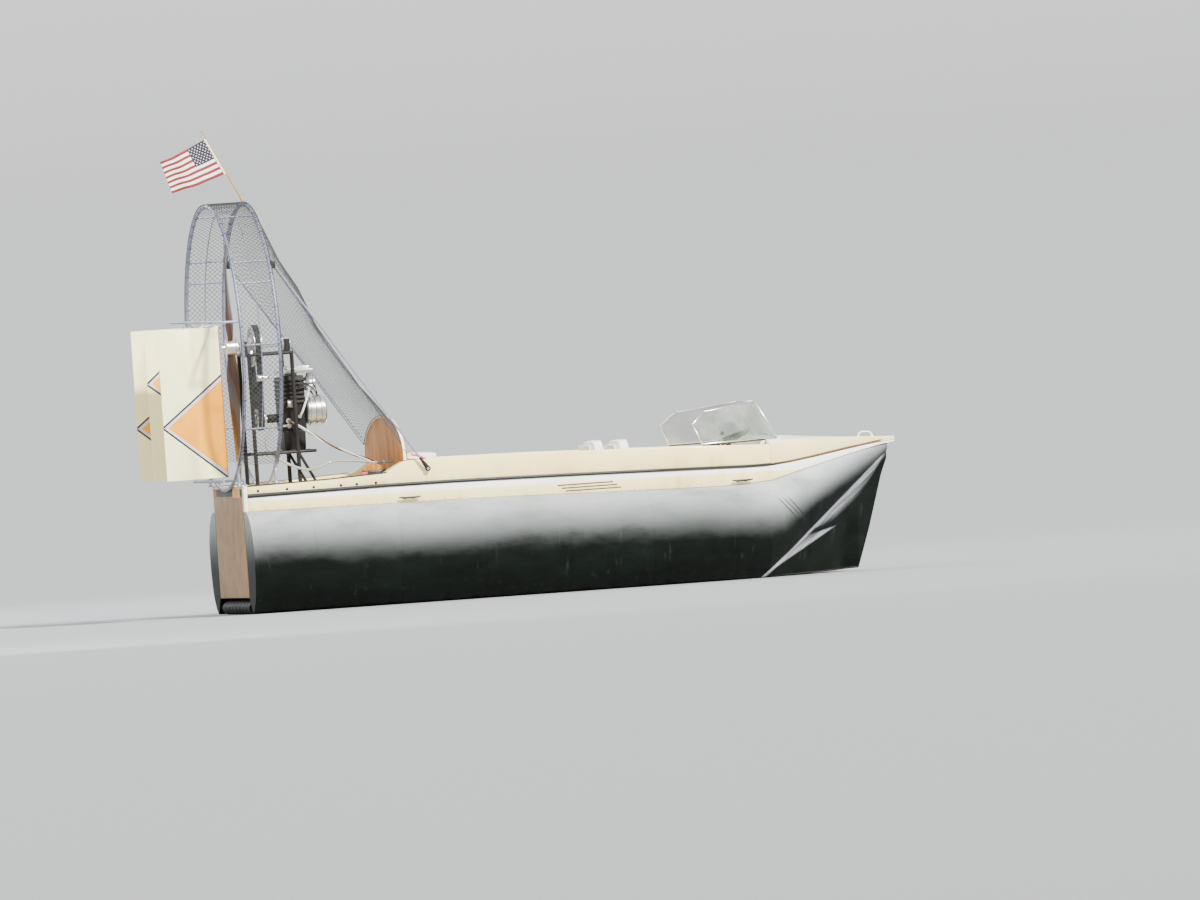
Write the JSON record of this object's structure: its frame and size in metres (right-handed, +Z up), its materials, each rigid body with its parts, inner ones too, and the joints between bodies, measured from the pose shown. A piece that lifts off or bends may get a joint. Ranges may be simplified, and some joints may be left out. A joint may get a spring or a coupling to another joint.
{
  "type": "small river hovercraft with caged rear propeller",
  "caption": "Boat-like moulded hull on a bag skirt, with a belt-driven caged propeller, three rudders, lift fan, open engine, windshield, seats and wheel",
  "frame": {"origin": "on the ground it parks on, under the middle of its box", "axes": "+X forward to the bow, +Y to port, +Z up"},
  "size_m": [5.47, 2.0954, 3.5213],
  "materials": {
    "gelcoat_cream": "cream gelcoat, waxed",
    "gelcoat_lower": "paler cream gelcoat with spray dirt",
    "gelcoat_white": "off-white gelcoat",
    "hull_inside": "painted laminate",
    "tan_panel": "tan painted board",
    "upholstery": "white vinyl",
    "skirt_fabric": "coated grey-black fabric",
    "rail_black": "black extrusion",
    "cage_tube": "grey painted tube",
    "net_wire": "dark coated wire",
    "stay_black": "black rod",
    "rudder_skin": "cream paint with an orange wedge",
    "engine_iron": "dark cast metal, oily",
    "bare_aluminium": "cast and turned aluminium",
    "black_rubber": "black rubber and grip",
    "hose_grey": "pale braided hose",
    "propeller_wood": "varnished laminate",
    "tinted_pane": "smoked sheet",
    "flag_cloth": "printed bunting",
    "white_paint": "white enamel"
  },
  "bodies": {
    "root": {"hull_floor": "hull_inside", "transom": "gelcoat_cream", "skirt_stern": "skirt_fabric", "aft_deck": "gelcoat_cream", "foredeck": "gelcoat_white", "arch_bulkhead": "tan_panel", "rub_rail": "rail_black", "cage_hoop_rear": "cage_tube", "cage_hoop_front": "cage_tube", "cage_net": "net_wire", "bonnet_net": "net_wire", "drive_belt": "black_rubber", "drive_frame": "engine_iron", "engine_block": "engine_iron", "engine_cover": "bare_aluminium", "oil_pan": "black_rubber", "carburettor": "bare_aluminium", "alternator": "bare_aluminium", "coolant_hose": "hose_grey", "wire_loom": "black_rubber", "lift_duct": "bare_aluminium", "rudder_frame_top": "cage_tube", "rudder_frame_bottom": "cage_tube", "flag_staff": "white_paint", "flag": "flag_cloth", "windshield_frame": "bare_aluminium", "windshield_front": "tinted_pane", "windshield_port": "tinted_pane", "windshield_starboard": "tinted_pane", "steering_column": "engine_iron", "dash": "gelcoat_white", "throttle_lever": "black_rubber", "rear_bench": "upholstery", "bow_ring": "white_paint", "hull_side_starboard": "hull_inside", "lower_panel_starboard": "gelcoat_lower", "coaming_starboard": "gelcoat_cream", "skirt_starboard": "skirt_fabric", "skid_starboard": "bare_aluminium", "stay_starboard": "stay_black", "seat_starboard": "upholstery", "cage_bars_starboard": "cage_tube", "hull_side_port": "hull_inside", "lower_panel_port": "gelcoat_lower", "coaming_port": "gelcoat_cream", "skirt_port": "skirt_fabric", "skid_port": "bare_aluminium", "stay_port": "stay_black", "seat_port": "upholstery", "cage_bars_port": "cage_tube"},
    "propeller": {"propeller": "propeller_wood", "prop_shaft": "bare_aluminium"},
    "crank_pulley": {"crank_pulley": "bare_aluminium"},
    "lift_fan": {"lift_fan": "engine_iron"},
    "rudder_centre": {"rudder_centre": "rudder_skin"},
    "rudder_starboard": {"rudder_starboard": "rudder_skin"},
    "rudder_port": {"rudder_port": "rudder_skin"},
    "tie_bar": {"rudder_tie_bar": "bare_aluminium"},
    "steering_wheel": {"steering_wheel": "black_rubber"}
  },
  "joints": [
    {"name": "propeller_spin", "type": "hinge", "parent": "root", "child": "propeller", "pos_m": [-2.1, 0, 1.933], "axis": [1, 0, 0], "continuous": true},
    {"name": "crank_spin", "type": "hinge", "parent": "root", "child": "crank_pulley", "pos_m": [-1.925, 0, 1.4], "axis": [1, 0, 0], "continuous": true},
    {"name": "lift_fan_spin", "type": "hinge", "parent": "root", "child": "lift_fan", "pos_m": [-1.31, 0, 0.72], "axis": [0, 0, 1], "continuous": true},
    {"name": "rudder_centre_hinge", "type": "hinge", "parent": "root", "child": "rudder_centre", "pos_m": [-2.33, 0, 1.55], "axis": [0, 0, 1], "range_deg": [-30, 30]},
    {"name": "rudder_starboard_hinge", "type": "hinge", "parent": "root", "child": "rudder_starboard", "pos_m": [-2.33, -0.5, 1.55], "axis": [0, 0, 1], "range_deg": [-30, 30]},
    {"name": "rudder_port_hinge", "type": "hinge", "parent": "root", "child": "rudder_port", "pos_m": [-2.33, 0.5, 1.55], "axis": [0, 0, 1], "range_deg": [-30, 30]},
    {"name": "tie_bar_pivot", "type": "hinge", "parent": "rudder_centre", "child": "tie_bar", "pos_m": [-2.26, 0, 2.106], "axis": [0, 0, 1], "range_deg": [-30, 30]},
    {"name": "steering_turn", "type": "hinge", "parent": "root", "child": "steering_wheel", "pos_m": [1.44, -0.3, 1.01], "axis": [-0.342, 0, 0.9397], "range_deg": [-180, 180]}
  ],
  "couplings": [
    {"joint": "crank_spin", "follows": "propeller_spin", "ratio": 2.0139},
    {"joint": "rudder_starboard_hinge", "follows": "rudder_centre_hinge", "ratio": 1},
    {"joint": "rudder_port_hinge", "follows": "rudder_centre_hinge", "ratio": 1},
    {"joint": "tie_bar_pivot", "follows": "rudder_centre_hinge", "ratio": -1},
    {"joint": "steering_turn", "follows": "rudder_centre_hinge", "ratio": -6}
  ]
}
